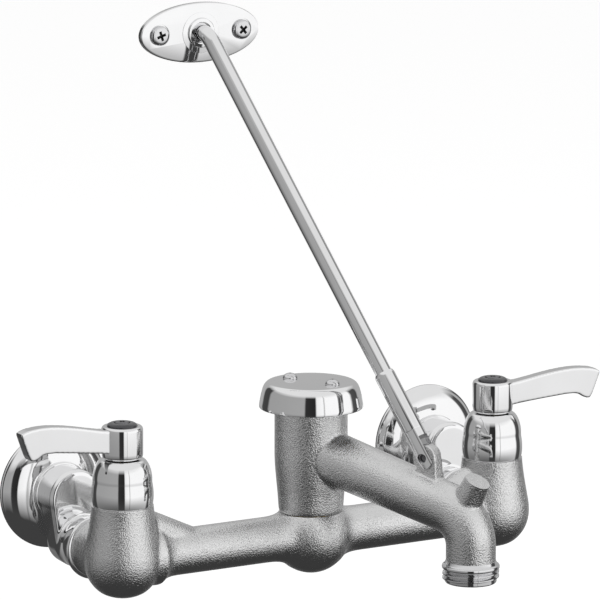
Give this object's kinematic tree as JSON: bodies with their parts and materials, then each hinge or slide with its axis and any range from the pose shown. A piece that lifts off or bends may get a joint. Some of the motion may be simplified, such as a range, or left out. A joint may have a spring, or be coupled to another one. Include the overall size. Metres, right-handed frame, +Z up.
{
  "type": "wall_faucet",
  "caption": "Wall faucet for a service sink: lever valves on a rough chrome crossbar, offset arms, swivel spout with vacuum breaker, pail hook and hose thread, and a brace rod to a wall plate.",
  "frame": {"origin": "on the wall plane, midway between the two inlets", "axes": "+Z up, +Y into the wall, the faucet stands out toward -Y, +X to the right seen from the front"},
  "size_m": [0.3126, 0.1703, 0.2664],
  "materials": {
    "rough_chrome": "satin",
    "polished_chrome": "gloss",
    "steel_fasteners": "satin",
    "dark_index": "gloss",
    "brass": "satin",
    "ceramic": "satin",
    "rubber": "matte",
    "poppet_plastic": "matte"
  },
  "bodies": {
    "body": {"crossbar_body": "rough_chrome", "spout_post": "brass", "post_seal": "rubber", "post_nut": "brass", "breaker_seat": "brass", "bonnet_left": "polished_chrome", "bonnet_right": "polished_chrome", "cartridge_left": "brass", "cartridge_right": "brass", "seat_disc_left": "ceramic", "seat_disc_right": "ceramic"},
    "arm_left": {"offset_arm_left": "polished_chrome", "wall_flange_left": "polished_chrome", "union_ring_left": "polished_chrome", "inlet_washer_left": "rubber"},
    "arm_right": {"offset_arm_right": "polished_chrome", "wall_flange_right": "polished_chrome", "union_ring_right": "polished_chrome", "inlet_washer_right": "rubber"},
    "lever_left": {"handle_left": "polished_chrome", "valve_stem_left": "brass", "turn_disc_left": "ceramic", "index_ring_left": "dark_index", "handle_screw_left": "steel_fasteners"},
    "lever_right": {"handle_right": "polished_chrome", "valve_stem_right": "brass", "turn_disc_right": "ceramic", "index_ring_right": "dark_index", "handle_screw_right": "steel_fasteners"},
    "spout": {"spout_casting": "rough_chrome", "breaker_guide": "brass", "breaker_cap": "polished_chrome", "cap_screws": "steel_fasteners"},
    "poppet": {"breaker_poppet": "poppet_plastic"},
    "brace": {"brace_fork": "polished_chrome", "fork_pin": "steel_fasteners", "brace_sleeve": "polished_chrome"},
    "rod": {"brace_rod": "polished_chrome", "rod_washer": "steel_fasteners"},
    "plate": {"wall_plate": "polished_chrome", "wall_screws": "steel_fasteners"}
  },
  "joints": [
    {"name": "arm_left_turn", "type": "hinge", "parent": "body", "child": "arm_left", "pos_m": [-0.1016, -0.038, -0.021], "axis": [0, 1, 0], "range_deg": [-60, 60]},
    {"name": "arm_right_turn", "type": "hinge", "parent": "body", "child": "arm_right", "pos_m": [0.1016, -0.038, -0.021], "axis": [0, 1, 0], "range_deg": [-60, 60]},
    {"name": "lever_left_turn", "type": "hinge", "parent": "body", "child": "lever_left", "pos_m": [-0.1016, -0.065, 0.03], "axis": [0, 0, 1], "range_deg": [0, 90]},
    {"name": "lever_right_turn", "type": "hinge", "parent": "body", "child": "lever_right", "pos_m": [0.1016, -0.065, 0.03], "axis": [0, 0, 1], "range_deg": [-72, 18]},
    {"name": "spout_swivel", "type": "hinge", "parent": "body", "child": "spout", "pos_m": [0, -0.065, 0], "axis": [0, 0, 1], "range_deg": [-74, 26]},
    {"name": "poppet_lift", "type": "slide", "parent": "spout", "child": "poppet", "axis": [0, 0, 1], "range_m": [0, 0.003]},
    {"name": "brace_pin", "type": "hinge", "parent": "spout", "child": "brace", "pos_m": [0.02693, -0.12548, 0.0249], "axis": [0.9135, 0.4067, 0], "range_deg": [-12, 80]},
    {"name": "rod_slide", "type": "slide", "parent": "brace", "child": "rod", "axis": [-0.227, 0.5099, 0.8298], "range_m": [-0.005, 0.011]},
    {"name": "plate_turn", "type": "hinge", "parent": "rod", "child": "plate", "pos_m": [-0.0244, -0.002, 0.2125], "axis": [0, 1, 0], "range_deg": [-90, 90]}
  ]
}
